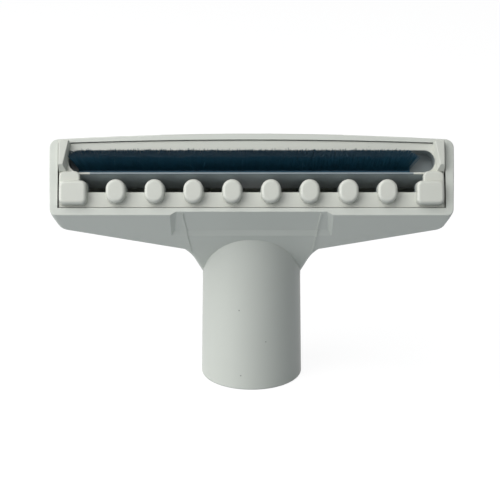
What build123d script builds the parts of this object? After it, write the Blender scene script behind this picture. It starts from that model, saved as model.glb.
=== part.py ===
from build123d import *
from math import cos, radians, sin, sqrt, tan
import os

# A vacuum upholstery nozzle. The hose socket stands upright on the Z axis, with its open end at Z 0,
# and the wide mouth looks forward, towards -Y, and a little up. Millimetres throughout.

# The head: the mouth is a leaning plane, the underside a flat wall that runs back from its lower rim
head_width = 150.0
mouth_height = 28.3
crown_rise = 2.25
opening_rise = 1.45
mouth_lean = 25.0
mouth_foot_y = -31.0
mouth_foot_z = 75.5
underside_angle = 41.0
wall = 2.2
floor_wall = 2.5
side_wall = 3.2
crown_edge_radius = 3.3
underside_edge_radius = 2.0
rim_edge_radius = 0.4

# The plan of the head, square to its underside, with runs measured back from the lower rim
side_draft = 0.28
side_bend_radius = 40.0
shoulder_start = 11.75
shoulder_slope = 18.3
shoulder_half_width = 24.9
end_corner_radius = 5.0
back_lean = 12.0
top_bend_radius = 36.0
top_spare = 0.8
flare_radius = 15.0
flare_lap = 9.0

# The hose socket and the neck above it
hose_bore = 35.0
socket_depth = 38.0
socket_end_radius = 19.95
socket_edge_radius = 0.8
neck_radius = 19.2
neck_wall = 3.0

# The finger recess in the underside and the fine ribs that bound its centre panel
recess_half_width = 30.2
recess_depth = 1.2
recess_back_depth = 0.8
recess_length = 12.0
recess_runout = 3.0
recess_end_run = 2.2
rib_front_x = 25.5
rib_back_x = 22.9
rib_length = 27.0
rib_width = 0.6
rib_height = 0.25

# The insert that snaps into the mouth
fit_gap = 0.5
lip_gap = 0.3
face_recess = 0.8
plate_thickness = 2.0
pocket_end_wall = 3.3
pocket_height = 8.3
pocket_top_drop = 3.9
pocket_depth = 9.5
pocket_wall = 0.9
lip_wall = 0.55
web_slope = 23.0
bar_height = 5.6
bar_thickness = 3.0
post_width = 5.3
post_depth = 3.4

# Its pegs, end blocks and fins
peg_count = 8
peg_end_gap = 7.2
peg_width = 7.15
peg_height = 8.65
peg_foot_gap = 1.4
peg_proud = 3.2
peg_draft = 3.0
peg_edge_radius = 1.2
block_width = 10.05
block_end_gap = 0.35
block_foot_gap = 0.85
block_height = 8.65
block_corner_radius = 2.0
step_width = 7.75
step_end_gap = 0.1
step_height = 3.85
step_back = 2.4
step_edge_radius = 0.7
fin_proud = 3.0
fin_top_width = 3.8
fin_foot_width = 1.6
fin_foot_drop = 9.7
fin_lap = 1.0
fin_base_width = 4.1
fin_base_foot_width = 2.7
fin_base_drop = 12.0
fin_edge_radius = 0.4

# The brush strip, which leans up and forward out of its pocket
brush_left_gap = 4.1
brush_right_gap = 9.7
brush_splay = 2.2
brush_lean = 23.0
brush_thickness = 2.7
brush_tip_proud = 0.7
brush_top_gap = 0.3
rail_height = 3.6
rail_thickness = 1.6
rail_overhang = 1.0

# What follows from the driving sizes
half_width = head_width / 2
crown_height = mouth_height + crown_rise
crown_radius = (half_width**2 + crown_rise**2) / (2 * crown_rise)
opening_radius = (half_width**2 + opening_rise**2) / (2 * opening_rise)
opening_top_v = crown_height - wall
opening_foot_v = floor_wall / sin(radians(mouth_lean + underside_angle))
insert_half = half_width - side_wall - fit_gap
pocket_half = insert_half - pocket_end_wall
pocket_top_v = mouth_height - pocket_top_drop
pocket_centre_v = pocket_top_v - pocket_height / 2
plate_foot_v = pocket_top_v - pocket_height - lip_wall
bar_foot_v = opening_foot_v + lip_gap
bar_top_v = bar_foot_v + bar_height
peg_foot_v = bar_foot_v + peg_foot_gap
block_foot_v = bar_foot_v + block_foot_gap
block_top_v = block_foot_v + block_height
step_top_v = block_top_v + step_height
block_outer_x = insert_half - block_end_gap
block_inner_x = block_outer_x - block_width
step_outer_x = insert_half - step_end_gap
lean = radians(mouth_lean)
slope = radians(underside_angle)
back_tilt = radians(mouth_lean + back_lean)
back_direction = (0, sin(back_tilt), cos(back_tilt))
shoulder_fall = tan(radians(shoulder_slope))
shoulder_start_x = half_width - side_draft * shoulder_start
shoulder_end = shoulder_start + shoulder_fall * (shoulder_start_x - shoulder_half_width)
socket_radius = hose_bore / 2
neck_root_z = mouth_foot_z + mouth_foot_y / tan(slope)
bend_turn = 90 - mouth_lean
overrun = 12.0
beyond = 2 * half_width
plane_tolerance = 1e-4

# The mouth's own plane: X across, Y up the mouth, Z out of it. The underside's plane: Y back along it.
foot = (0, mouth_foot_y, mouth_foot_z)
mouth = Plane(origin=foot, x_dir=(1, 0, 0), z_dir=(0, -cos(lean), sin(lean)))
underside = Plane(origin=foot, x_dir=(1, 0, 0), z_dir=(0, cos(slope), sin(slope)))
across_underside = Plane(origin=foot, x_dir=(1, 0, 0), z_dir=(0, -sin(slope), cos(slope)))


def underside_z(inset, y):
    """The height of the underside, moved in by inset, at this Y."""
    return mouth_foot_z + (inset - (y - mouth_foot_y) * cos(slope)) / sin(slope)


def underside_y(run):
    """The Y of a point that lies this far back along the underside."""
    return mouth_foot_y + run * sin(slope)


def underside_point(run, height):
    """A point of the middle section, so far back along the underside and above it, as Y and Z."""
    y = mouth_foot_y + run * sin(slope) + height * cos(slope)
    z = mouth_foot_z - run * cos(slope) + height * sin(slope)
    return (y, z)


def mouth_point(v, depth):
    """A point of the middle section, so far up the mouth and behind its plane, as Y and Z."""
    y = mouth_foot_y + v * sin(lean) + depth * cos(lean)
    z = mouth_foot_z + v * cos(lean) - depth * sin(lean)
    return (y, z)


def top_corner(inset, front):
    """The corner of mouth and top in the middle section, moved in by inset and forward by front."""
    v = crown_height + top_spare - inset
    y = mouth_foot_y + v * sin(lean) - front * cos(lean)
    z = mouth_foot_z + v * cos(lean) + front * sin(lean)
    return (y, z)


def mirrored(right):
    """The points of the right half, then the same points on the left, back to the start."""
    return [*right, *[(-x, y) for x, y in reversed(right)]]


def on_plane(edge, plane):
    """Whether an edge lies in a plane."""
    return all(abs(plane.to_local_coords(edge @ place).Z) < plane_tolerance for place in (0, 0.4, 1))


def side_form(inset, floor_inset, front):
    """The head seen from the side: underside, mouth, straight top, the bend and the back of the neck."""
    back_y = neck_radius - inset
    low_y = mouth_foot_y - front
    top_y, top_z = top_corner(inset, front)
    with BuildPart() as form:
        with BuildSketch(Plane.YZ):
            with BuildLine():
                FilletPolyline(
                    (low_y, underside_z(floor_inset, low_y)),
                    (top_y, top_z),
                    (back_y, top_z - (back_y - top_y) * tan(lean)),
                    (back_y, underside_z(floor_inset, back_y)),
                    radius=(0, 0, top_bend_radius - inset, 0),
                    close=True,
                )
            make_face()
        extrude(amount=beyond, both=True)
    return form.part


def crown_form(top_v, radius, edge_x):
    """A crowned upper edge, this high in the middle and out to edge_x each side, run front to back."""
    edge_v = top_v - (radius - sqrt(radius**2 - edge_x**2))
    with BuildPart() as form:
        with BuildSketch(mouth):
            with BuildLine():
                Polyline((-edge_x, edge_v), (-edge_x, -beyond), (edge_x, -beyond), (edge_x, edge_v))
                ThreePointArc((edge_x, edge_v), (0, top_v), (-edge_x, edge_v))
            make_face()
        extrude(amount=beyond, both=True)
    return form.part


def tray_form(inset):
    """The plan of the wide front of the head, run up and back from the underside."""
    right = [
        (half_width, -beyond),
        (half_width, 0),
        (shoulder_start_x, shoulder_start),
        (shoulder_half_width, shoulder_end),
    ]
    bends = [0, side_bend_radius, end_corner_radius, 0]
    with BuildPart() as form:
        with BuildSketch(underside):
            with BuildLine():
                FilletPolyline(*mirrored(right), radius=bends + bends[::-1], close=True)
            make_face()
            if inset > 0:
                offset(amount=-inset, kind=Kind.INTERSECTION)
        extrude(amount=beyond, dir=back_direction)
    return form.part


def flare_form(inset):
    """The upright flare that carries the two shoulders into the round of the neck."""
    flare_x = shoulder_half_width + flare_lap
    flare_run = shoulder_end - flare_lap * shoulder_fall
    right = [
        (flare_x, underside_y(flare_run - flare_lap)),
        (flare_x, underside_y(flare_run)),
        (shoulder_half_width, underside_y(shoulder_end)),
        (neck_radius, inset),
    ]
    bends = [0, 0, flare_radius, 0]
    with BuildPart() as form:
        with BuildSketch(Plane.XY.offset(neck_root_z)):
            with BuildLine():
                FilletPolyline(*mirrored(right), radius=bends + bends[::-1], close=True)
            make_face()
            if inset > 0:
                offset(amount=-inset, kind=Kind.INTERSECTION)
        extrude(amount=beyond)
    return form.part


def core_form(inset):
    """The round neck, straight up from the socket, and the back half of its bend towards the mouth."""
    top_y, top_z = top_corner(0, 0)
    bend_reach = top_bend_radius * tan(radians(bend_turn / 2))
    bend_start_z = top_z - (neck_radius - top_y) * tan(lean) - bend_reach
    with BuildPart() as form:
        with BuildSketch(Plane.XY.offset(socket_depth)):
            Circle(neck_radius - inset)
        extrude(amount=bend_start_z - socket_depth)
        with BuildSketch(Plane.XY.offset(bend_start_z)):
            Circle(neck_radius - inset)
            Rectangle(beyond, beyond, align=(Align.CENTER, Align.MIN), mode=Mode.INTERSECT)
        revolve(axis=Axis((0, neck_radius - top_bend_radius, bend_start_z), (1, 0, 0)), revolution_arc=bend_turn)
    return form.part


# The housing's outside: the tray at the front, the flare behind it and the round core of the neck
side = side_form(0, 0, 0)
crown = crown_form(crown_height, crown_radius, half_width + overrun)

tray_plan = tray_form(0)
with BuildPart() as tray:
    add(tray_plan)
    add(crown, mode=Mode.INTERSECT)
    top = tray.faces().filter_by(GeomType.CYLINDER).sort_by(SortBy.AREA)[-1]
    fillet(top.edges().sort_by(Axis.Y)[1:], crown_edge_radius)
    add(side, mode=Mode.INTERSECT)
    low = [e for e in tray.edges() if on_plane(e, underside) and not on_plane(e, mouth)]
    fillet([e for e in low if abs((e @ 0.5).X) > shoulder_half_width], underside_edge_radius)
    fillet([e for e in tray.edges() if on_plane(e, mouth)], rim_edge_radius)

flare_plan = flare_form(0)
with BuildPart() as flare:
    add(flare_plan)
    add(side, mode=Mode.INTERSECT)
    add(crown, mode=Mode.INTERSECT)
    low = [e for e in flare.edges() if on_plane(e, underside) and abs((e @ 0.5).X) > neck_radius]
    low = [e for e in low if min(abs((e @ 0).X), abs((e @ 1).X)) < shoulder_half_width]
    fillet(low, underside_edge_radius)

core_plan = core_form(0)
with BuildPart() as core:
    add(core_plan)
    add(crown, mode=Mode.INTERSECT)

# The hollow: the same forms moved in by the wall
inner_side = side_form(wall, floor_wall, overrun)
inner_crown = crown_form(opening_top_v, opening_radius, half_width - side_wall)
inner_tray_plan = tray_form(wall)
inner_flare_plan = flare_form(neck_wall)
inner_core_plan = core_form(neck_wall)
with BuildPart() as hollow_tray:
    add(inner_tray_plan)
    add(inner_side, mode=Mode.INTERSECT)
    add(inner_crown, mode=Mode.INTERSECT)

with BuildPart() as hollow_flare:
    add(inner_flare_plan)
    add(inner_side, mode=Mode.INTERSECT)
    add(inner_crown, mode=Mode.INTERSECT)

with BuildPart() as hollow_core:
    add(inner_core_plan)
    add(inner_crown, mode=Mode.INTERSECT)

# The finger recess: deepest at the rim, with sloping ends, and running out to nothing at the back
with BuildPart() as recess:
    with BuildSketch(Plane.YZ):
        with BuildLine():
            Polyline(
                underside_point(0, recess_depth),
                underside_point(recess_length, recess_back_depth),
                underside_point(recess_length + recess_runout, 0),
                underside_point(recess_length + recess_runout, -overrun),
                underside_point(-overrun, -overrun),
                underside_point(-overrun, recess_depth),
                close=True,
            )
        make_face()
    extrude(amount=recess_half_width, both=True)
    with BuildSketch(across_underside):
        with BuildLine():
            Polyline(
                (recess_half_width, 0),
                (recess_half_width, -overrun),
                (-recess_half_width, -overrun),
                (-recess_half_width, 0),
                (-recess_half_width + recess_end_run, recess_depth),
                (-recess_half_width + recess_end_run, overrun),
                (recess_half_width - recess_end_run, overrun),
                (recess_half_width - recess_end_run, recess_depth),
                close=True,
            )
        make_face()
    extrude(amount=beyond, both=True, mode=Mode.INTERSECT)

# The two fine ribs, which follow the recess and then the flat underside
with BuildPart() as ribs:
    with BuildSketch(underside):
        for turn in (1, -1):
            with BuildLine():
                Polyline(
                    (turn * rib_front_x, rib_width),
                    (turn * (rib_front_x + rib_width), rib_width),
                    (turn * (rib_back_x + rib_width), rib_length),
                    (turn * rib_back_x, rib_length),
                    close=True,
                )
            make_face()
    extrude(amount=overrun, both=True)
    with BuildSketch(Plane.YZ):
        with BuildLine():
            Polyline(
                underside_point(0, recess_depth - rib_height),
                underside_point(recess_length, recess_back_depth - rib_height),
                underside_point(recess_length + recess_runout, -rib_height),
                underside_point(rib_length, -rib_height),
                underside_point(rib_length, floor_wall / 2),
                underside_point(0, recess_depth + floor_wall / 4),
                close=True,
            )
        make_face()
    extrude(amount=beyond, both=True, mode=Mode.INTERSECT)

with BuildPart() as housing:
    with BuildSketch(Plane.XY):
        Circle(socket_end_radius)
    with BuildSketch(Plane.XY.offset(neck_root_z)):
        Circle(neck_radius)
    loft()
    fillet(housing.edges().sort_by(Axis.Z)[0], socket_edge_radius)
    add(core.part)
    add(flare.part)
    add(tray.part)
    add(recess.part, mode=Mode.SUBTRACT)
    add(ribs.part)
    add(hollow_tray.part, mode=Mode.SUBTRACT)
    add(hollow_flare.part, mode=Mode.SUBTRACT)
    add(hollow_core.part, mode=Mode.SUBTRACT)
    with BuildSketch(Plane.XY):
        Circle(socket_radius)
    extrude(amount=socket_depth, mode=Mode.SUBTRACT)

# The insert: the lip plate, the brush pocket over its sloping web, the bar and the two posts
face = mouth.offset(-face_recess)
plate_top_v = opening_top_v - lip_gap
plate_edge_v = plate_top_v - (opening_radius - sqrt(opening_radius**2 - insert_half**2))
post_v = (bar_foot_v + plate_foot_v) / 2
post_x = insert_half - post_width / 2
web_drop = (pocket_depth + pocket_wall - face_recess) * tan(radians(web_slope))

# Draft makes each peg and block a little larger at its foot, on the back of the bar
stand = peg_proud + face_recess + bar_thickness
growth = stand * tan(radians(peg_draft))
bar_back = mouth.offset(-face_recess - bar_thickness)
front = mouth.offset(peg_proud)
last_peg_x = block_inner_x - peg_end_gap - peg_width / 2
peg_pitch = 2 * last_peg_x / (peg_count - 1)
with BuildPart() as pegs:
    with BuildSketch(bar_back):
        with Locations(*[(peg_pitch * k - last_peg_x, peg_foot_v + peg_height / 2) for k in range(peg_count)]):
            SlotOverall(peg_height + 2 * growth, peg_width + 2 * growth, rotation=90)
    extrude(amount=stand, taper=peg_draft)
    fillet([e for e in pegs.edges() if on_plane(e, front)], peg_edge_radius)

with BuildPart() as right_end:
    with BuildSketch(bar_back):
        with Locations((block_outer_x - block_width / 2, (block_foot_v + block_top_v) / 2)):
            Rectangle(block_width + 2 * growth, block_height + 2 * growth)
    extrude(amount=stand, taper=peg_draft)
    corners = [e for e in right_end.edges() if not on_plane(e, front) and not on_plane(e, bar_back)]
    fillet(corners, block_corner_radius)
    fillet([e for e in right_end.edges() if on_plane(e, front)], peg_edge_radius)

with BuildPart() as right_step:
    with BuildSketch(bar_back):
        with Locations((step_outer_x - step_width / 2, (block_top_v + step_top_v) / 2 - block_corner_radius)):
            RectangleRounded(
                step_width,
                step_height + 2 * block_corner_radius,
                block_corner_radius,
            )
    extrude(amount=stand - step_back)
    step_front = mouth.offset(peg_proud - step_back)
    fillet([e for e in right_step.edges() if on_plane(e, step_front)], step_edge_radius)

fin_base = mouth.offset(lip_gap)
fin_front = mouth.offset(fin_proud)
with BuildPart() as right_fin:
    with BuildSketch(fin_base) as fin_foot:
        with BuildLine():
            Polyline(
                (insert_half, plate_edge_v),
                (insert_half - fin_base_width, plate_edge_v),
                (insert_half - fin_base_foot_width, mouth_height - fin_base_drop),
                (insert_half, mouth_height - fin_base_drop),
                close=True,
            )
        make_face()
    with BuildSketch(fin_front):
        with BuildLine():
            Polyline(
                (insert_half, plate_edge_v + fin_lap),
                (insert_half - fin_top_width, plate_edge_v + fin_lap),
                (insert_half - fin_foot_width, mouth_height - fin_foot_drop),
                (insert_half, mouth_height - fin_foot_drop),
                close=True,
            )
        make_face()
    loft(ruled=True)
    fillet([e for e in right_fin.edges() if on_plane(e, fin_front)], fin_edge_radius)
    extrude(fin_foot.sketch, amount=-lip_gap - face_recess - plate_thickness)

with BuildPart() as peg_insert:
    with BuildSketch(face):
        with BuildLine():
            Polyline(
                (-insert_half, plate_edge_v),
                (-insert_half, plate_foot_v),
                (insert_half, plate_foot_v),
                (insert_half, plate_edge_v),
            )
            ThreePointArc((insert_half, plate_edge_v), (0, plate_top_v), (-insert_half, plate_edge_v))
        make_face()
    extrude(amount=-plate_thickness)
    with BuildSketch(mouth.offset(-pocket_depth - pocket_wall)):
        with Locations((0, pocket_centre_v)):
            SlotOverall(2 * (pocket_half + pocket_wall), pocket_height + 2 * pocket_wall)
    extrude(amount=pocket_depth + pocket_wall - face_recess - plate_thickness)
    with BuildSketch(Plane.YZ):
        with BuildLine():
            Polyline(
                mouth_point(plate_foot_v, face_recess),
                mouth_point(plate_foot_v - web_drop, pocket_depth + pocket_wall),
                mouth_point(plate_foot_v + lip_wall / 2, pocket_depth + pocket_wall),
                mouth_point(plate_foot_v + lip_wall / 2, face_recess),
                close=True,
            )
        make_face()
    extrude(amount=insert_half - post_width, both=True)
    with BuildSketch(face):
        with Locations((0, (bar_foot_v + bar_top_v) / 2)):
            Rectangle(2 * insert_half, bar_top_v - bar_foot_v)
    extrude(amount=-bar_thickness)
    with BuildSketch(face):
        with Locations((post_x, post_v), (-post_x, post_v)):
            Rectangle(post_width, plate_foot_v - bar_foot_v)
    extrude(amount=-post_depth)
    add(pegs.part)
    for piece in (right_end.part, right_step.part, right_fin.part):
        add(piece)
        add(mirror(piece, about=Plane.YZ, mode=Mode.PRIVATE))
    with BuildSketch(mouth.offset(-pocket_depth)):
        with Locations((0, pocket_centre_v)):
            SlotOverall(2 * pocket_half, pocket_height)
    extrude(amount=beyond, mode=Mode.SUBTRACT)

# The brush strip: a rail on the floor of the pocket, and the pile that leans out of it
pile_angle = radians(mouth_lean + brush_lean)
pile_direction = Vector(0, -cos(pile_angle), sin(pile_angle))
tip_v = pocket_top_v - brush_top_gap - brush_thickness * cos(radians(brush_lean)) / 2
brush_left_x = brush_left_gap - pocket_half
brush_right_x = pocket_half - brush_right_gap
pile_length = (pocket_depth + brush_tip_proud) / cos(radians(brush_lean))
tip_point = mouth.from_local_coords((0, tip_v, brush_tip_proud))
root_point = tip_point - pile_direction * pile_length
pile_plane = Plane(origin=root_point, x_dir=(1, 0, 0), z_dir=Vector(1, 0, 0).cross(pile_direction))
root_v = tip_v - pile_length * sin(radians(brush_lean))
pile_sink = brush_thickness
with BuildPart() as brush_strip:
    with BuildSketch(pile_plane):
        with BuildLine():
            Polyline(
                (brush_left_x, -pile_sink),
                (brush_right_x, -pile_sink),
                (brush_right_x, 0),
                (brush_right_x + brush_splay, pile_length),
                (brush_left_x - brush_splay, pile_length),
                (brush_left_x, 0),
                close=True,
            )
        make_face()
    extrude(amount=brush_thickness / 2, both=True)
    split(bisect_by=mouth.offset(-pocket_depth), keep=Keep.TOP)
    with BuildSketch(mouth.offset(-pocket_depth)):
        with Locations(((brush_left_x + brush_right_x) / 2, root_v)):
            Rectangle(brush_right_x - brush_left_x + 2 * rail_overhang, rail_height)
    extrude(amount=rail_thickness)

housing.part.label = "housing"
peg_insert.part.label = "peg_insert"
brush_strip.part.label = "brush_strip"
os.makedirs("parts", exist_ok=True)
export_step(housing.part, "parts/housing.step")
export_step(peg_insert.part, "parts/peg_insert.step")
export_step(brush_strip.part, "parts/brush_strip.step")
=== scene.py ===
# %% [markdown]
# # A vacuum upholstery nozzle, dressed for its picture
#
# The real object is three pieces: a hollow head with a round hose socket, moulded in pale ABS, an insert
# of the same plastic that snaps into the mouth and carries eight soft-edged pegs, and a dark strip of cut
# bristles that is gripped in the insert's pocket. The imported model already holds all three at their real
# size, so this lesson only gives the two mouldings their finish and grows the bristles that a plain solid
# stands in for.

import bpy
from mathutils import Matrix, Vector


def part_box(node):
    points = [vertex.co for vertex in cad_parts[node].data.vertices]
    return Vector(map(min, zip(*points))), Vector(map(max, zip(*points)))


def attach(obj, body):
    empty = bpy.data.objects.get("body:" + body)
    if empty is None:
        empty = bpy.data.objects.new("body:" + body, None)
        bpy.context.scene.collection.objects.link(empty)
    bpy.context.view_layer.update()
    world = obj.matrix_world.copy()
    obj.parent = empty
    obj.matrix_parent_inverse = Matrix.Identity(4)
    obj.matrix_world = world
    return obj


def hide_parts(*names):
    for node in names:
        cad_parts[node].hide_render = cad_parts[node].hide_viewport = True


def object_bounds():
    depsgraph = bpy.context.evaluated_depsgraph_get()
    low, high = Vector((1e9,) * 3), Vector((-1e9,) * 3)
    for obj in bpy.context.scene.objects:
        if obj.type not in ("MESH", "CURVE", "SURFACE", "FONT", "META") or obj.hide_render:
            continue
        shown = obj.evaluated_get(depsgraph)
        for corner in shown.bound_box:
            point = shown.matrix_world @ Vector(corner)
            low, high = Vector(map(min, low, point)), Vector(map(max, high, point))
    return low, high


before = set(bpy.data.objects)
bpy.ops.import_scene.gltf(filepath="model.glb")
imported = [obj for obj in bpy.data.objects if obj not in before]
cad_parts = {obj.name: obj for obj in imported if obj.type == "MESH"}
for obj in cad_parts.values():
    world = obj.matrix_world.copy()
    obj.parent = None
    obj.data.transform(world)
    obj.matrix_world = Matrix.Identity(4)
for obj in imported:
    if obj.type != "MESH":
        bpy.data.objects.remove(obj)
cad_low, cad_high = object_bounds()
print("nodes:", sorted(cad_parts))

# %% Libraries for meshes and numbers
import math

import bmesh
import bpy
from mathutils import Vector

MM = 0.001

# %% [markdown]
# ## One function that adds a node
#
# Materials and geometry trees are both node trees. Each node needs a type, a few settings, and something
# in its sockets: either a plain value or a link from another node. One small function does all of that,
# so that each tree below reads from top to bottom like a recipe.

# %% Add a node with its settings and its links


def add_node(tree, kind, settings=None, feed=None):
    """Adds a node to a tree. Each entry of feed is a value or another node's socket, for an input."""
    node = tree.nodes.new(kind)
    for name, value in (settings or {}).items():
        setattr(node, name, value)
    for name, value in (feed or {}).items():
        if isinstance(value, bpy.types.NodeSocket):
            tree.links.new(value, node.inputs[name])
        else:
            node.inputs[name].default_value = value
    return node


# %% [markdown]
# ## Colours
#
# A hex value is what a colour picker shows, in sRGB. Blender's shaders work in linear light, so every
# colour in this file goes through one function that undoes the sRGB curve.

# %% Turn a hex colour to linear light


def linear(hex_colour):
    """An sRGB hex colour such as #CDD0C8 as the four linear numbers that a colour socket takes."""
    digits = hex_colour.lstrip("#")
    channels = [int(digits[k : k + 2], 16) / 255 for k in (0, 2, 4)]
    return (*[c / 12.92 if c <= 0.04045 else ((c + 0.055) / 1.055) ** 2.4 for c in channels], 1.0)


print("linear pale grey:", [round(c, 3) for c in linear("#CDD0C8")])

# %% [markdown]
# ## Where the mouth is
#
# The mouth is a plane that leans back 25 degrees. Two directions describe it: up along the mouth, and
# straight out of it. The bristles lean up from that by another 23 degrees, so they leave the pocket
# pointing up and forward. Everything about the brush is worked out from the box of its stand-in solid and
# these angles.

# %% Directions of the mouth and of the pile
MOUTH_LEAN = math.radians(25)
PILE_RISE = math.radians(48)
PILE_THICKNESS = 2.7 * MM
PILE_LENGTH = 11.08 * MM
PILE_SPLAY = 2.2 * MM

MOUTH_FOOT = Vector((0, -31.0, 75.5)) * MM
across = Vector((1, 0, 0))
mouth_up = Vector((0, math.sin(MOUTH_LEAN), math.cos(MOUTH_LEAN)))
mouth_out = Vector((0, -math.cos(MOUTH_LEAN), math.sin(MOUTH_LEAN)))
pile_way = Vector((0, -math.cos(PILE_RISE), math.sin(PILE_RISE)))
pile_up = Vector((0, math.sin(PILE_RISE), math.cos(PILE_RISE)))

# %% The pile's tips and roots, from the box of its stand-in
strip_low, strip_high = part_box("brush_strip")
half_thickness = PILE_THICKNESS / 2
tip_line = Vector((0, strip_low.y + half_thickness * pile_up.y, strip_high.z - half_thickness * pile_up.z))
root_line = tip_line - pile_way * PILE_LENGTH
root_left = strip_low.x + PILE_SPLAY
root_right = strip_high.x - PILE_SPLAY
print("pile roots from", round(root_left / MM, 1), "to", round(root_right / MM, 1), "mm across")

# %% [markdown]
# ## Pale ABS with a fine moulded grain
#
# ABS leaves a spark-eroded mould with a fine even grain that breaks up reflections, so the surface looks
# matt and soft, with a broad faint sheen. IOR 1.54 and a roughness of about 0.4 give that. The real grain
# is about a tenth of a millimetre, too fine to show here, so it is drawn three times as coarse. Slow
# variations in colour and gloss, a few centimetres long, stand for the flow of the melt. Shade is painted
# into the insert's colour: a grey that deepens from just behind the mouth inwards, and a grey band on the
# narrow lip under the bristles.

# %% Sizes and shares of the ABS finish
GRAIN = 0.3 * MM
GRAIN_DEPTH = 0.03 * MM
GRAIN_STRENGTH = 0.12
FLOW = 22 * MM
ABS_IOR = 1.54
SPECK = "#4A4A44"
SPECK_CORE = 0.6
SPECK_SHARE = 0.55
# Painted shade: grey that deepens from 0.9 to 1.6 mm behind the mouth plane, and a band on the lip under
# the bristles.
MOUTH_SHADE_GREY = "#7E8A90"
MOUTH_SHADE_SHALLOW = -0.9 * MM
MOUTH_SHADE_DEEP = -1.6 * MM
MOUTH_SHADE_SHARE = 0.75
LIP_RISE = 15.8 * MM
LIP_HALF_WIDTH = 0.5 * MM
LIP_HALF_LENGTH = 60 * MM
LIP_SHADE_SHARE = 0.95

# %% Painted shade inside the mouth


def painted_mouth_shade(tree, place, tint):
    """Paints shade: grey deepening inside the mouth, and a grey band on the thin lip under the bristles.
    """
    from_foot = add_node(
        tree, "ShaderNodeVectorMath", {"operation": "SUBTRACT"}, {0: place, 1: MOUTH_FOOT}
    ).outputs[0]
    out = add_node(
        tree, "ShaderNodeVectorMath", {"operation": "DOT_PRODUCT"}, {0: from_foot, 1: mouth_out}
    ).outputs["Value"]
    up = add_node(
        tree, "ShaderNodeVectorMath", {"operation": "DOT_PRODUCT"}, {0: from_foot, 1: mouth_up}
    ).outputs["Value"]
    x = add_node(tree, "ShaderNodeSeparateXYZ", feed={0: place}).outputs["X"]
    inside = add_node(
        tree,
        "ShaderNodeMapRange",
        feed={"Value": out, "From Min": MOUTH_SHADE_SHALLOW, "From Max": MOUTH_SHADE_DEEP, "To Max": MOUTH_SHADE_SHARE},
    ).outputs["Result"]
    at_lip = add_node(
        tree, "ShaderNodeMath", {"operation": "COMPARE"}, {0: up, 1: LIP_RISE, 2: LIP_HALF_WIDTH}
    ).outputs[0]
    in_middle = add_node(
        tree, "ShaderNodeMath", {"operation": "COMPARE"}, {0: x, 1: 0.0, 2: LIP_HALF_LENGTH}
    ).outputs[0]
    lip = add_node(tree, "ShaderNodeMath", {"operation": "MULTIPLY"}, {0: at_lip, 1: in_middle}).outputs[0]
    lip = add_node(tree, "ShaderNodeMath", {"operation": "MULTIPLY"}, {0: lip, 1: LIP_SHADE_SHARE}).outputs[0]
    share = add_node(tree, "ShaderNodeMath", {"operation": "MAXIMUM"}, {0: inside, 1: lip}).outputs[0]
    return add_node(
        tree, "ShaderNodeMix", {"data_type": "RGBA"}, {"Factor": share, 6: tint, 7: linear(MOUTH_SHADE_GREY)}
    ).outputs[2]


# %% The moulded ABS material


def moulded_abs(name, colour, flow_colour, roughness_range, specks=(), mouth_shade=False):
    """Matt ABS with moulded grain. specks are (place, radius) of tiny dark inclusions, in metres."""
    material = bpy.data.materials.new(name)
    material.use_nodes = True
    tree = material.node_tree
    shader = tree.nodes["Principled BSDF"]
    place = add_node(tree, "ShaderNodeTexCoord").outputs["Object"]
    flow = add_node(tree, "ShaderNodeTexNoise", feed={"Vector": place, "Scale": 1 / FLOW, "Detail": 3.0})
    tint = add_node(
        tree,
        "ShaderNodeMix",
        {"data_type": "RGBA"},
        {"Factor": flow.outputs["Fac"], 6: linear(colour), 7: linear(flow_colour)},
    ).outputs[2]
    for spot, radius in specks:
        away = add_node(tree, "ShaderNodeVectorMath", {"operation": "DISTANCE"}, {0: place, 1: spot})
        cover = add_node(
            tree,
            "ShaderNodeMapRange",
            feed={
                "Value": away.outputs["Value"],
                "From Min": radius * SPECK_CORE,
                "From Max": radius,
                "To Min": SPECK_SHARE,
                "To Max": 0.0,
            },
        )
        tint = add_node(
            tree,
            "ShaderNodeMix",
            {"data_type": "RGBA"},
            {"Factor": cover.outputs["Result"], 6: tint, 7: linear(SPECK)},
        ).outputs[2]
    # Painted shade inside the mouth and on the lip under the bristles, when asked for.
    if mouth_shade:
        tint = painted_mouth_shade(tree, place, tint)
    tree.links.new(tint, shader.inputs["Base Color"])
    roughness = add_node(
        tree,
        "ShaderNodeMapRange",
        feed={"Value": flow.outputs["Fac"], "To Min": roughness_range[0], "To Max": roughness_range[1]},
    )
    tree.links.new(roughness.outputs["Result"], shader.inputs["Roughness"])
    grain = add_node(tree, "ShaderNodeTexNoise", feed={"Vector": place, "Scale": 1 / GRAIN, "Detail": 2.0})
    bump = add_node(
        tree,
        "ShaderNodeBump",
        feed={"Height": grain.outputs["Fac"], "Strength": GRAIN_STRENGTH, "Distance": GRAIN_DEPTH},
    )
    tree.links.new(bump.outputs["Normal"], shader.inputs["Normal"])
    shader.inputs["IOR"].default_value = ABS_IOR
    return material


# %% Dress the two mouldings
HOUSING_GREY = "#CFD2CA"
HOUSING_FLOW_GREY = "#CBCEC6"
HOUSING_ROUGHNESS = (0.40, 0.48)
INSERT_GREY = "#CFD0C7"
INSERT_FLOW_GREY = "#CBCDC4"
INSERT_ROUGHNESS = (0.34, 0.42)
SOCKET_SPECKS = [
    (Vector((-4.8, -18.7, 33.0)) * MM, 0.35 * MM),
    (Vector((5.5, -18.7, 20.0)) * MM, 0.30 * MM),
    (Vector((-4.2, -19.3, 6.0)) * MM, 0.35 * MM),
]
housing_abs = moulded_abs(
    "ABS_pale_grey_fine_grain", HOUSING_GREY, HOUSING_FLOW_GREY, HOUSING_ROUGHNESS, specks=SOCKET_SPECKS
)
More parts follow.
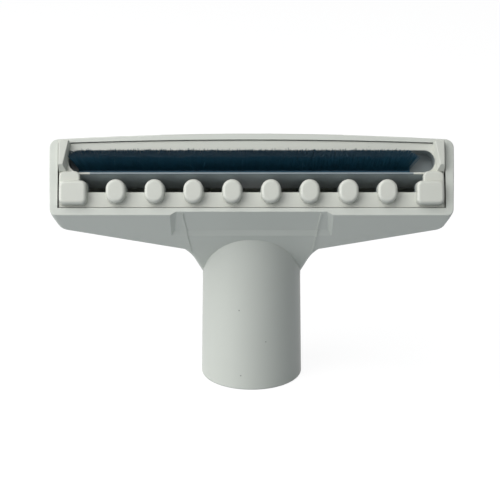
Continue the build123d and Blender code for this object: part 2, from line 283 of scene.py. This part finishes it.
# The insert gets painted shade inside the mouth and on the lip under its bristles.
insert_abs = moulded_abs("ABS_warm_grey_satin", INSERT_GREY, INSERT_FLOW_GREY, INSERT_ROUGHNESS, mouth_shade=True)
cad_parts["housing"].material_slots[0].material = housing_abs
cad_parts["peg_insert"].material_slots[0].material = insert_abs
print("dressed:", housing_abs.name, "and", insert_abs.name)

# %% [markdown]
# ## Navy nylon bristles
#
# Cut nylon pile is near black with a blue cast. Each fibre is smooth, so it has a thin highlight along
# its length, and the cut ends scatter more light than the flanks, which is why the top of the strip looks
# paler. Two attributes that the bristle tree stores drive this: how far up its fibre a point is, and a
# random tone.

# %% The bristle material
FIBRE_FLANK = "#1A526B"
FIBRE_FLANK_PALE = "#205C72"
FIBRE_TIP = "#3A5768"
TIP_START = 0.93
NYLON_ROUGHNESS = 0.5
NYLON_IOR = 1.53


def nylon_bristle():
    """Navy nylon fibre, paler at its cut end, with a little tone of its own."""
    material = bpy.data.materials.new("nylon_pile_navy_cut")
    material.use_nodes = True
    tree = material.node_tree
    shader = tree.nodes["Principled BSDF"]
    height = add_node(tree, "ShaderNodeAttribute", {"attribute_name": "fibre_height"})
    tone = add_node(tree, "ShaderNodeAttribute", {"attribute_name": "fibre_tone"})
    flank = add_node(
        tree,
        "ShaderNodeMix",
        {"data_type": "RGBA"},
        {"Factor": tone.outputs["Fac"], 6: linear(FIBRE_FLANK), 7: linear(FIBRE_FLANK_PALE)},
    )
    cut = add_node(
        tree,
        "ShaderNodeMapRange",
        feed={"Value": height.outputs["Fac"], "From Min": TIP_START, "From Max": 1.0},
    )
    colour = add_node(
        tree,
        "ShaderNodeMix",
        {"data_type": "RGBA"},
        {"Factor": cut.outputs["Result"], 6: flank.outputs[2], 7: linear(FIBRE_TIP)},
    )
    tree.links.new(colour.outputs[2], shader.inputs["Base Color"])
    shader.inputs["Roughness"].default_value = NYLON_ROUGHNESS
    shader.inputs["IOR"].default_value = NYLON_IOR
    return material


bristle_nylon = nylon_bristle()
print("made:", bristle_nylon.name)

# %% [markdown]
# ## The bristles as a rule
#
# The strip has thousands of fibres, so they are made by a rule and not by hand. Geometry Nodes scatters
# points over a flat patch at the roots, sets a tapered three-sided fibre on each point, and turns it to
# the pile's direction. Fibres near the two ends splay outwards, clumps of neighbours bend together, and a
# few strays stand out from the rest. A three-sided fibre with few rings keeps the piece under its share
# of triangles.

# %% Give a tree an input


def new_input(tree, name, kind, value=None):
    """Adds a named input to a geometry tree."""
    socket = tree.interface.new_socket(name, in_out="INPUT", socket_type=kind)
    if value is not None:
        socket.default_value = value


# %% Sizes and seeds of the fibres
FIBRE_SPACING = 0.165 * MM
FIBRE_RADIUS = 0.11 * MM
FIBRE_SIDES = 3
FIBRE_RINGS = 3
FIBRE_TAPER = 0.8
SHORTEST_SHARE = 0.98
LONGEST_SHARE = 1.09
DENSEST = 2e8
END_SLOPE = 0.36
END_TIGHTNESS = 8.0
UNTIDINESS = 0.045
CLUMP_SIZE = 1.2 * MM
CLUMP_BEND = 0.35 * MM
BEND_POWER = 2.0
STRAY_SHARE = 0.005
STRAY_WILDNESS = 6.0
POINT_SEED = 7
SHAKE_SEED = 11
TONE_SEED = 23
LENGTH_SEED = 31

# %% Build the bristle tree


def bristle_tree():
    """Points on the roots' patch, a fibre on each, splayed, bent and made real."""
    tree = bpy.data.node_groups.new("cut_pile", "GeometryNodeTree")
    new_input(tree, "Geometry", "NodeSocketGeometry")
    new_input(tree, "Spacing", "NodeSocketFloat", FIBRE_SPACING)
    new_input(tree, "Fibre radius", "NodeSocketFloat", FIBRE_RADIUS)
    new_input(tree, "Length", "NodeSocketFloat", PILE_LENGTH)
    new_input(tree, "Direction", "NodeSocketVector")
    new_input(tree, "Middle x", "NodeSocketFloat")
    new_input(tree, "Half width", "NodeSocketFloat")
    new_input(tree, "End slope", "NodeSocketFloat", END_SLOPE)
    new_input(tree, "End tightness", "NodeSocketFloat", END_TIGHTNESS)
    new_input(tree, "Untidiness", "NodeSocketFloat", UNTIDINESS)
    new_input(tree, "Clump size", "NodeSocketFloat", CLUMP_SIZE)
    new_input(tree, "Clump bend", "NodeSocketFloat", CLUMP_BEND)
    new_input(tree, "Stray share", "NodeSocketFloat", STRAY_SHARE)
    new_input(tree, "Seed", "NodeSocketInt", POINT_SEED)
    new_input(tree, "Material", "NodeSocketMaterial")
    tree.interface.new_socket("Geometry", in_out="OUTPUT", socket_type="NodeSocketGeometry")
    given = add_node(tree, "NodeGroupInput").outputs
    result = add_node(tree, "NodeGroupOutput")

    points = add_node(
        tree,
        "GeometryNodeDistributePointsOnFaces",
        {"distribute_method": "POISSON"},
        {
            "Mesh": given["Geometry"],
            "Distance Min": given["Spacing"],
            "Density Max": DENSEST,
            "Seed": given["Seed"],
        },
    ).outputs["Points"]

    position = add_node(tree, "GeometryNodeInputPosition").outputs[0]
    x = add_node(tree, "ShaderNodeSeparateXYZ", feed={0: position}).outputs["X"]
    off_middle = add_node(
        tree, "ShaderNodeMath", {"operation": "SUBTRACT"}, {0: x, 1: given["Middle x"]}
    ).outputs[0]
    share = add_node(
        tree, "ShaderNodeMath", {"operation": "DIVIDE"}, {0: off_middle, 1: given["Half width"]}
    ).outputs[0]
    size = add_node(tree, "ShaderNodeMath", {"operation": "ABSOLUTE"}, {0: share}).outputs[0]
    steep = add_node(
        tree, "ShaderNodeMath", {"operation": "POWER"}, {0: size, 1: given["End tightness"]}
    ).outputs[0]
    side = add_node(tree, "ShaderNodeMath", {"operation": "SIGN"}, {0: share}).outputs[0]
    signed = add_node(tree, "ShaderNodeMath", {"operation": "MULTIPLY"}, {0: steep, 1: side}).outputs[0]
    sideways = add_node(
        tree, "ShaderNodeMath", {"operation": "MULTIPLY"}, {0: signed, 1: given["End slope"]}
    ).outputs[0]
    splay = add_node(tree, "ShaderNodeCombineXYZ", feed={"X": sideways}).outputs[0]

    stray = add_node(
        tree,
        "FunctionNodeRandomValue",
        {"data_type": "BOOLEAN"},
        {"Probability": given["Stray share"], "Seed": given["Seed"]},
    ).outputs[3]
    wildness = add_node(
        tree,
        "GeometryNodeSwitch",
        {"input_type": "FLOAT"},
        {"Switch": stray, "False": 1.0, "True": STRAY_WILDNESS},
    ).outputs[0]
    untidy = add_node(
        tree, "ShaderNodeMath", {"operation": "MULTIPLY"}, {0: given["Untidiness"], 1: wildness}
    ).outputs[0]
    shake = add_node(
        tree,
        "FunctionNodeRandomValue",
        {"data_type": "FLOAT_VECTOR"},
        {0: (-1, -1, -1), 1: (1, 1, 1), "Seed": SHAKE_SEED},
    ).outputs[0]
    shaken = add_node(
        tree, "ShaderNodeVectorMath", {"operation": "SCALE"}, {0: shake, "Scale": untidy}
    ).outputs[0]
    way = add_node(
        tree, "ShaderNodeVectorMath", {"operation": "ADD"}, {0: given["Direction"], 1: splay}
    ).outputs[0]
    way = add_node(tree, "ShaderNodeVectorMath", {"operation": "ADD"}, {0: way, 1: shaken}).outputs[0]
    turn = add_node(tree, "FunctionNodeAlignRotationToVector", {"axis": "Z"}, {"Vector": way}).outputs[0]

    tone = add_node(
        tree, "FunctionNodeRandomValue", {"data_type": "FLOAT"}, {2: 0.0, 3: 1.0, "Seed": TONE_SEED}
    ).outputs[1]
    points = add_node(
        tree,
        "GeometryNodeStoreNamedAttribute",
        {"data_type": "FLOAT", "domain": "POINT"},
        {"Geometry": points, "Name": "fibre_tone", "Value": tone},
    ).outputs[0]
    clump_scale = add_node(
        tree, "ShaderNodeMath", {"operation": "DIVIDE"}, {0: 1.0, 1: given["Clump size"]}
    ).outputs[0]
    clump = add_node(
        tree, "ShaderNodeTexNoise", feed={"Vector": position, "Scale": clump_scale, "Detail": 2.0}
    ).outputs["Color"]
    centred = add_node(
        tree, "ShaderNodeVectorMath", {"operation": "SUBTRACT"}, {0: clump, 1: (0.5, 0.5, 0.5)}
    ).outputs[0]
    bend = add_node(
        tree, "ShaderNodeVectorMath", {"operation": "SCALE"}, {0: centred, "Scale": given["Clump bend"]}
    ).outputs[0]
    points = add_node(
        tree,
        "GeometryNodeStoreNamedAttribute",
        {"data_type": "FLOAT_VECTOR", "domain": "POINT"},
        {"Geometry": points, "Name": "fibre_bend", "Value": bend},
    ).outputs[0]

    tip_radius = add_node(
        tree, "ShaderNodeMath", {"operation": "MULTIPLY"}, {0: given["Fibre radius"], 1: FIBRE_TAPER}
    ).outputs[0]
    fibre = add_node(
        tree,
        "GeometryNodeMeshCone",
        {"fill_type": "NGON"},
        {
            "Vertices": FIBRE_SIDES,
            "Side Segments": FIBRE_RINGS,
            "Radius Top": tip_radius,
            "Radius Bottom": given["Fibre radius"],
            "Depth": given["Length"],
        },
    ).outputs["Mesh"]
    up = add_node(tree, "ShaderNodeSeparateXYZ", feed={0: position}).outputs["Z"]
    height = add_node(
        tree, "ShaderNodeMath", {"operation": "DIVIDE"}, {0: up, 1: given["Length"]}
    ).outputs[0]
    fibre = add_node(
        tree,
        "GeometryNodeStoreNamedAttribute",
        {"data_type": "FLOAT", "domain": "POINT"},
        {"Geometry": fibre, "Name": "fibre_height", "Value": height},
    ).outputs[0]

    long_share = add_node(
        tree,
        "FunctionNodeRandomValue",
        {"data_type": "FLOAT"},
        {2: SHORTEST_SHARE, 3: LONGEST_SHARE, "Seed": LENGTH_SEED},
    ).outputs[1]
    stretch = add_node(tree, "ShaderNodeCombineXYZ", feed={"X": 1.0, "Y": 1.0, "Z": long_share}).outputs[0]
    fibres = add_node(
        tree,
        "GeometryNodeInstanceOnPoints",
        feed={"Points": points, "Instance": fibre, "Rotation": turn, "Scale": stretch},
    ).outputs[0]
    fibres = add_node(tree, "GeometryNodeRealizeInstances", feed={0: fibres}).outputs[0]

    stored_height = add_node(
        tree, "GeometryNodeInputNamedAttribute", {"data_type": "FLOAT"}, {"Name": "fibre_height"}
    ).outputs[0]
    stored_bend = add_node(
        tree, "GeometryNodeInputNamedAttribute", {"data_type": "FLOAT_VECTOR"}, {"Name": "fibre_bend"}
    ).outputs[0]
    rising = add_node(
        tree, "ShaderNodeMath", {"operation": "POWER"}, {0: stored_height, 1: BEND_POWER}
    ).outputs[0]
    swing = add_node(
        tree, "ShaderNodeVectorMath", {"operation": "SCALE"}, {0: stored_bend, "Scale": rising}
    ).outputs[0]
    fibres = add_node(
        tree, "GeometryNodeSetPosition", feed={"Geometry": fibres, "Offset": swing}
    ).outputs[0]
    fibres = add_node(
        tree, "GeometryNodeSetMaterial", feed={"Geometry": fibres, "Material": given["Material"]}
    ).outputs[0]
    tree.links.new(fibres, result.inputs["Geometry"])
    return tree


# %% Set a modifier's inputs by their identifiers


def set_inputs(modifier, values):
    """Sets a geometry tree's inputs on its modifier. Each is found by name and set by identifier."""
    for item in modifier.node_group.interface.items_tree:
        if item.item_type == "SOCKET" and item.in_out == "INPUT" and item.name in values:
            modifier[item.identifier] = values[item.name]


def plain_mesh(thing, name):
    """The evaluated shape of an object as a new plain object, with no modifier left."""
    graph = bpy.context.evaluated_depsgraph_get()
    mesh = bpy.data.meshes.new_from_object(thing.evaluated_get(graph))
    bpy.data.objects.remove(thing)
    made = bpy.data.objects.new(name, mesh)
    bpy.context.scene.collection.objects.link(made)
    return made


# %% [markdown]
# ## The patch of roots
#
# The tree needs a surface to scatter on. It is a flat patch on the pocket's floor, as wide as the strip
# and as thick as the pile. The strip's right end was cut askew, so the upper corner there is set in. A
# small clump at that end has parted from the rest, so the patch is two faces with a thin cut between
# them.

# %% Make the patch and grow the pile
RIGHT_END_SKEW = 2.5 * MM
END_CLUMP = 1.3 * MM
END_CUT = 0.3 * MM


def root_patch():
    """The flat faces on which the fibres stand, parted by a thin cut near the right end."""
    mesh = bpy.data.meshes.new("pile_roots")
    lower = root_line - pile_up * half_thickness
    upper = root_line + pile_up * half_thickness
    corners = []
    spans = ((root_left, root_right - END_CLUMP - END_CUT), (root_right - END_CLUMP, root_right))
    for left, right in spans:
        corners += [lower + across * left, lower + across * right]
        corners += [upper + across * (x - RIGHT_END_SKEW * (x > 0)) for x in (right, left)]
    mesh.from_pydata([tuple(c) for c in corners], [], [(0, 1, 2, 3), (4, 5, 6, 7)])
    thing = bpy.data.objects.new("pile_roots", mesh)
    bpy.context.scene.collection.objects.link(thing)
    return thing


roots = root_patch()
grower = roots.modifiers.new("cut_pile", "NODES")
grower.node_group = bristle_tree()
set_inputs(
    grower,
    {
        "Direction": tuple(pile_way),
        "Middle x": (root_left + root_right) / 2,
        "Half width": (root_right - root_left) / 2,
        "Material": bristle_nylon,
    },
)
pile = plain_mesh(roots, "brush_pile")
print("brush_pile has", len(pile.data.vertices), "points and", len(pile.data.polygons), "faces")

# %% [markdown]
# ## The carrier rail
#
# The fibres of a real strip are woven or glued into a narrow rail that slides into the pocket. Only its
# right end shows, past the last fibre. It is a small bar with rounded edges, made of the same dark
# plastic.

# %% Make the rail
RAIL_HEIGHT = 3.6 * MM
RAIL_THICKNESS = 1.6 * MM
RAIL_OVERHANG = 1.0 * MM
RAIL_EDGE = 0.3 * MM


def carrier_rail():
    """The bar on the pocket's floor that holds the fibres."""
    mesh = bpy.data.meshes.new("brush_rail")
    shape = bmesh.new()
    corners = {}
    for side, x in enumerate((root_left - RAIL_OVERHANG, root_right + RAIL_OVERHANG)):
        for level, rise in enumerate((-RAIL_HEIGHT / 2, RAIL_HEIGHT / 2)):
            for layer, out in enumerate((0, RAIL_THICKNESS)):
                place = root_line + across * x + mouth_up * rise + mouth_out * out
                corners[side, level, layer] = shape.verts.new(place)
    for axis in range(3):
        for end in (0, 1):
            ring = []
            for a, b in ((0, 0), (0, 1), (1, 1), (1, 0)):
                key = [a, b]
                key.insert(axis, end)
                ring.append(corners[tuple(key)])
            shape.faces.new(ring)
    bmesh.ops.bevel(shape, geom=shape.edges[:], offset=RAIL_EDGE, segments=2, affect="EDGES")
    bmesh.ops.recalc_face_normals(shape, faces=shape.faces)
    shape.to_mesh(mesh)
    shape.free()
    mesh.materials.append(bristle_nylon)
    thing = bpy.data.objects.new("brush_rail", mesh)
    bpy.context.scene.collection.objects.link(thing)
    return thing


rail = carrier_rail()
print("brush_rail has", len(rail.data.polygons), "faces")

# %% The brush pieces ride on the one body and stand for the plain strip
for piece in (pile, rail):
    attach(piece, "root")
    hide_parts("brush_strip")

# %% [markdown]
# ## A white table
#
# The floor and the air around it show as white to the camera and in reflections, while the light that
# they throw on the object stays at a plain level. The floor keeps a share of ordinary diffuse shading, so
# the nozzle still drops a faint soft shadow on it.

# %% Where a ray comes from


def seen_by_eye(tree):
    """One for rays from the camera and those mirrored or let through, zero for the light that bounces."""
    path = add_node(tree, "ShaderNodeLightPath").outputs
    seen = add_node(
        tree,
        "ShaderNodeMath",
        {"operation": "MAXIMUM"},
        {0: path["Is Camera Ray"], 1: path["Is Glossy Ray"]},
    ).outputs[0]
    return add_node(
        tree, "ShaderNodeMath", {"operation": "MAXIMUM"}, {0: seen, 1: path["Is Transmission Ray"]}
    ).outputs[0]


# %% The floor
FLOOR_HALF = 3.0
FLOOR_COLOUR = "#B2B8BD"
FLOOR_SHADE = 0.16
FLOOR_GLOW = 0.93


def white_floor():
    """A wide plane just where the socket stands."""
    mesh = bpy.data.meshes.new("floor")
    corners = [(-FLOOR_HALF, -FLOOR_HALF, 0), (FLOOR_HALF, -FLOOR_HALF, 0), (FLOOR_HALF, FLOOR_HALF, 0)]
    mesh.from_pydata([*corners, (-FLOOR_HALF, FLOOR_HALF, 0)], [], [(0, 1, 2, 3)])
    material = bpy.data.materials.new("paper_white_matt")
    material.use_nodes = True
    tree = material.node_tree
    tree.nodes.clear()
    paper = add_node(tree, "ShaderNodeBsdfDiffuse", feed={"Color": linear(FLOOR_COLOUR)})
    shade = add_node(
        tree, "ShaderNodeBsdfDiffuse", feed={"Color": (FLOOR_SHADE, FLOOR_SHADE, FLOOR_SHADE, 1)}
    )
    glow = add_node(tree, "ShaderNodeEmission", feed={"Strength": FLOOR_GLOW})
    shown = add_node(tree, "ShaderNodeAddShader", feed={0: shade.outputs[0], 1: glow.outputs[0]})
    either = add_node(
        tree, "ShaderNodeMixShader", feed={0: seen_by_eye(tree), 1: paper.outputs[0], 2: shown.outputs[0]}
    )
    add_node(tree, "ShaderNodeOutputMaterial", feed={"Surface": either.outputs[0]})
    mesh.materials.append(material)
    thing = bpy.data.objects.new("floor", mesh)
    bpy.context.scene.collection.objects.link(thing)


white_floor()
print("floor is", 2 * FLOOR_HALF, "m wide")

# %% The air: white to the eye, a plain grey light for the object
AIR_COLOUR = "#E2EAF2"
WORLD_LEVEL = 0.13


def studio_air():
    """The world's two faces."""
    world = bpy.data.worlds.new("studio_air")
    bpy.context.scene.world = world
    world.use_nodes = True
    tree = world.node_tree
    tree.nodes.clear()
    light = add_node(
        tree, "ShaderNodeBackground", feed={"Color": linear(AIR_COLOUR), "Strength": WORLD_LEVEL}
    )
    white = add_node(tree, "ShaderNodeBackground", feed={"Color": (1, 1, 1, 1), "Strength": 1.0})
    either = add_node(
        tree, "ShaderNodeMixShader", feed={0: seen_by_eye(tree), 1: light.outputs[0], 2: white.outputs[0]}
    )
    add_node(tree, "ShaderNodeOutputWorld", feed={"Surface": either.outputs[0]})


studio_air()
print("the air lights the object at", WORLD_LEVEL)

# %% [markdown]
# ## Light
#
# One large soft lamp stands well to the left of the camera and above it. It makes the left of the round
# socket bright and lets the right fall into shade. A weaker one above the camera fills the mouth and
# keeps the shadows of the pegs short. How bright a lamp looks depends on its distance, so its power is
# worked out from the level that it should give: 1 would show a colour as it is written.

# %% Place an area lamp


def soft_lamp(name, azimuth, elevation, distance, size, level):
    """A square lamp aimed at the middle of the object. Azimuth 0 is in front, and less is further left."""
    aim = (cad_low + cad_high) / 2
    a, e = math.radians(azimuth), math.radians(elevation)
    away = Vector((math.sin(a) * math.cos(e), -math.cos(a) * math.cos(e), math.sin(e)))
    lamp = bpy.data.lights.new(name, "AREA")
    lamp.size = size
    lamp.energy = level * (math.pi * distance) ** 2
    thing = bpy.data.objects.new(name, lamp)
    thing.location = aim + away * distance
    thing.rotation_euler = (-away).to_track_quat("-Z", "Y").to_euler()
    bpy.context.scene.collection.objects.link(thing)


soft_lamp("key", azimuth=-64, elevation=30, distance=1.2, size=1.5, level=1.16)
soft_lamp("top", azimuth=-25, elevation=62, distance=1.2, size=1.0, level=0.42)
print("lamps:", [lamp.name for lamp in bpy.data.lights])

# %% [markdown]
# ## The camera
#
# The picture was taken from straight ahead and about 19 degrees above level, with a long lens at some 65
# centimetres. The camera stands there, so the mouth is as wide in the frame as it is in the picture.

# %% The camera
CAMERA_PLACE = Vector((-0.6, -596.4, 257.7)) * MM
CAMERA_TILT = math.radians(70.9)
SENSOR = 36.0
LENS = 115.86


def picture_camera():
    """The camera at the picture's own place."""
    lens = bpy.data.cameras.new("camera")
    lens.sensor_width = SENSOR
    lens.lens = LENS
    thing = bpy.data.objects.new("camera", lens)
    thing.location = CAMERA_PLACE
    thing.rotation_euler = (CAMERA_TILT, 0, 0)
    bpy.context.scene.collection.objects.link(thing)
    bpy.context.scene.camera = thing


picture_camera()
print("camera stands", round(CAMERA_PLACE.length, 3), "m from the origin")
bpy.context.scene.view_settings.view_transform = "Standard"
